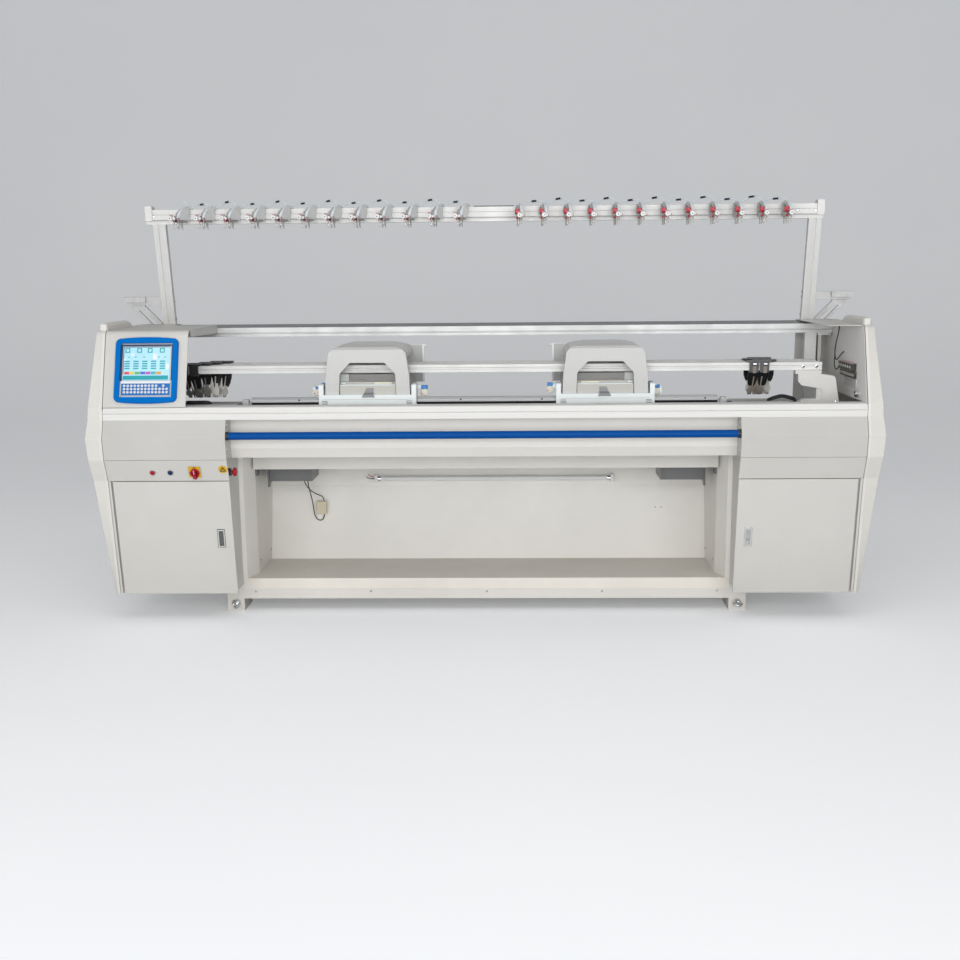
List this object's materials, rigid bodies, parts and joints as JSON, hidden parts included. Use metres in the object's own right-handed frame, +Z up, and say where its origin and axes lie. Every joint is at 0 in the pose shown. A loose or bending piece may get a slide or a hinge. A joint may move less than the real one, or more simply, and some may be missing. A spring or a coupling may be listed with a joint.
{
  "type": "flat knitting machine",
  "caption": "Long computerised flat knitting machine with tandem carriages on a needle bed, side cabinets, control panel and an overhead yarn stand.",
  "frame": {"origin": "on the floor under the middle of the machine's length and depth", "axes": "+X along the machine, to the operator's right; -Y towards the operator; +Z up"},
  "size_m": [3.636, 0.94, 1.9409],
  "materials": {
    "casing_paint": "satin",
    "beam_steel": "satin",
    "bed_steel": "satin",
    "bristle": "matte",
    "aluminium": "satin",
    "latch_chrome": "polished",
    "bezel_blue": "gloss",
    "screen": "gloss",
    "red_plastic": "gloss",
    "blue_plastic": "gloss",
    "bar_blue": "gloss",
    "black_plastic": "matte",
    "unit_grey": "satin",
    "unit_parts": "satin",
    "lead_sleeve": "satin",
    "lamp_tube": "satin",
    "arch_cover": "gloss",
    "tray_cover": "satin",
    "belt_rubber": "matte",
    "pulley_metal": "satin",
    "carrier_steel": "satin",
    "connector_plastic": "matte",
    "lead_rubber": "matte"
  },
  "bodies": {
    "machine": {"aprons": "casing_paint", "back_panel": "casing_paint", "bar_bushes": "black_plastic", "base_frame": "casing_paint", "bed_beams": "beam_steel", "belt_drive": "belt_rubber", "brush_strip": "bristle", "connector": "connector_plastic", "control_bezel": "bezel_blue", "control_rings": "latch_chrome", "display_panel": "screen", "end_panels": "casing_paint", "front_panels": "casing_paint", "guide_rails": "bed_steel", "jumper_leads": "lead_sleeve", "lamp": "lamp_tube", "lead_lower": "lead_rubber", "lead_upper": "lead_rubber", "ledge": "aluminium", "left_cabinet": "casing_paint", "left_upper_casing": "casing_paint", "leg_panels": "casing_paint", "needle_beds": "bed_steel", "needles": "bed_steel", "plug_blocks": "black_plastic", "rail_brackets": "casing_paint", "right_cabinet": "casing_paint", "right_upper_casing": "casing_paint", "shelf": "casing_paint", "side_arms": "aluminium", "takedown_housings": "beam_steel", "tension_covers": "unit_grey", "tension_units": "unit_parts", "yarn_rails": "aluminium", "yarn_stand": "aluminium", "yarn_table": "aluminium"},
    "left_carriage": {"left_arch": "arch_cover", "left_cams": "tray_cover"},
    "right_carriage": {"right_arch": "arch_cover", "right_cams": "tray_cover"},
    "left_door": {"left_door": "casing_paint"},
    "right_door": {"right_door": "casing_paint"},
    "left_latch": {"left_latch": "latch_chrome"},
    "right_latch": {"right_latch": "latch_chrome"},
    "red_button": {"red_button": "red_plastic"},
    "blue_button": {"blue_button": "blue_plastic"},
    "main_switch": {"main_switch": "red_plastic"},
    "stop_button": {"stop_button": "red_plastic"},
    "start_bar": {"start_bar": "bar_blue"},
    "takedown_roller": {"takedown_roller": "bed_steel"},
    "left_pulley": {"left_pulley": "pulley_metal"},
    "right_pulley": {"right_pulley": "pulley_metal"},
    "left_carrier_1": {"left_carrier_1": "carrier_steel"},
    "left_carrier_2": {"left_carrier_2": "carrier_steel"},
    "left_carrier_3": {"left_carrier_3": "carrier_steel"},
    "left_carrier_4": {"left_carrier_4": "carrier_steel"},
    "right_carrier_1": {"right_carrier_1": "carrier_steel"},
    "right_carrier_2": {"right_carrier_2": "carrier_steel"},
    "right_carrier_3": {"right_carrier_3": "carrier_steel"},
    "right_carrier_4": {"right_carrier_4": "carrier_steel"}
  },
  "joints": [
    {"name": "left_carriage_travel", "type": "slide", "parent": "machine", "child": "left_carriage", "axis": [1, 0, 0], "range_m": [-0.55, 0.55]},
    {"name": "right_carriage_travel", "type": "slide", "parent": "machine", "child": "right_carriage", "axis": [1, 0, 0], "range_m": [-0.55, 0.55]},
    {"name": "left_pulley_turn", "type": "hinge", "parent": "machine", "child": "left_pulley", "pos_m": [-1.47, 0.27, 0.9425], "axis": [0, 0, 1], "range_deg": [-830, 830]},
    {"name": "right_pulley_turn", "type": "hinge", "parent": "machine", "child": "right_pulley", "pos_m": [1.47, 0.27, 0.9425], "axis": [0, 0, 1], "range_deg": [-830, 830]},
    {"name": "left_carrier_1_travel", "type": "slide", "parent": "machine", "child": "left_carrier_1", "axis": [1, 0, 0], "range_m": [0, 1.1]},
    {"name": "left_carrier_2_travel", "type": "slide", "parent": "machine", "child": "left_carrier_2", "axis": [1, 0, 0], "range_m": [0, 1.1]},
    {"name": "left_carrier_3_travel", "type": "slide", "parent": "machine", "child": "left_carrier_3", "axis": [1, 0, 0], "range_m": [0, 1.1]},
    {"name": "left_carrier_4_travel", "type": "slide", "parent": "machine", "child": "left_carrier_4", "axis": [1, 0, 0], "range_m": [0, 1.1]},
    {"name": "right_carrier_1_travel", "type": "slide", "parent": "machine", "child": "right_carrier_1", "axis": [1, 0, 0], "range_m": [-1.1, 0]},
    {"name": "right_carrier_2_travel", "type": "slide", "parent": "machine", "child": "right_carrier_2", "axis": [1, 0, 0], "range_m": [-1.1, 0]},
    {"name": "right_carrier_3_travel", "type": "slide", "parent": "machine", "child": "right_carrier_3", "axis": [1, 0, 0], "range_m": [-1.1, 0]},
    {"name": "right_carrier_4_travel", "type": "slide", "parent": "machine", "child": "right_carrier_4", "axis": [1, 0, 0], "range_m": [-1.1, 0]},
    {"name": "left_door_swing", "type": "hinge", "parent": "machine", "child": "left_door", "pos_m": [-1.674, -0.33009, 0.13637], "axis": [0, 0.1368, -0.9906], "range_deg": [0, 100]},
    {"name": "right_door_swing", "type": "hinge", "parent": "machine", "child": "right_door", "pos_m": [1.674, -0.33009, 0.13637], "axis": [0, -0.1368, 0.9906], "range_deg": [0, 100]},
    {"name": "left_latch_lift", "type": "hinge", "parent": "left_door", "child": "left_latch", "pos_m": [-1.204, -0.3781, 0.434], "axis": [-1, 0, 0], "range_deg": [0, 45], "stiffness_Nm_per_rad": 0.02},
    {"name": "right_latch_lift", "type": "hinge", "parent": "right_door", "child": "right_latch", "pos_m": [1.204, -0.3781, 0.434], "axis": [-1, 0, 0], "range_deg": [0, 45], "stiffness_Nm_per_rad": 0.02},
    {"name": "red_button_press", "type": "slide", "parent": "machine", "child": "red_button", "axis": [0, 0.9119, 0.4104], "range_m": [0, 0.003], "stiffness_N_per_m": 600},
    {"name": "blue_button_press", "type": "slide", "parent": "machine", "child": "blue_button", "axis": [0, 0.9119, 0.4104], "range_m": [0, 0.003], "stiffness_N_per_m": 600},
    {"name": "main_switch_turn", "type": "hinge", "parent": "machine", "child": "main_switch", "pos_m": [-1.296, -0.4339, 0.72], "axis": [0, -0.9119, -0.4104], "range_deg": [0, 90]},
    {"name": "stop_button_press", "type": "slide", "parent": "machine", "child": "stop_button", "axis": [-1, 0, 0], "range_m": [0, 0.005], "stiffness_N_per_m": 800},
    {"name": "start_bar_turn", "type": "hinge", "parent": "machine", "child": "start_bar", "pos_m": [0, -0.445, 0.884], "axis": [1, 0, 0], "range_deg": [-20, 20], "stiffness_Nm_per_rad": 12},
    {"name": "takedown_roller_turn", "type": "hinge", "parent": "machine", "child": "takedown_roller", "pos_m": [0, 0.21, 0.69], "axis": [1, 0, 0], "continuous": true}
  ],
  "couplings": [
    {"joint": "right_carriage_travel", "follows": "left_carriage_travel", "ratio": 1},
    {"joint": "left_pulley_turn", "follows": "left_carriage_travel", "rad_per_m": 26.3},
    {"joint": "right_pulley_turn", "follows": "left_carriage_travel", "rad_per_m": 26.3}
  ]
}
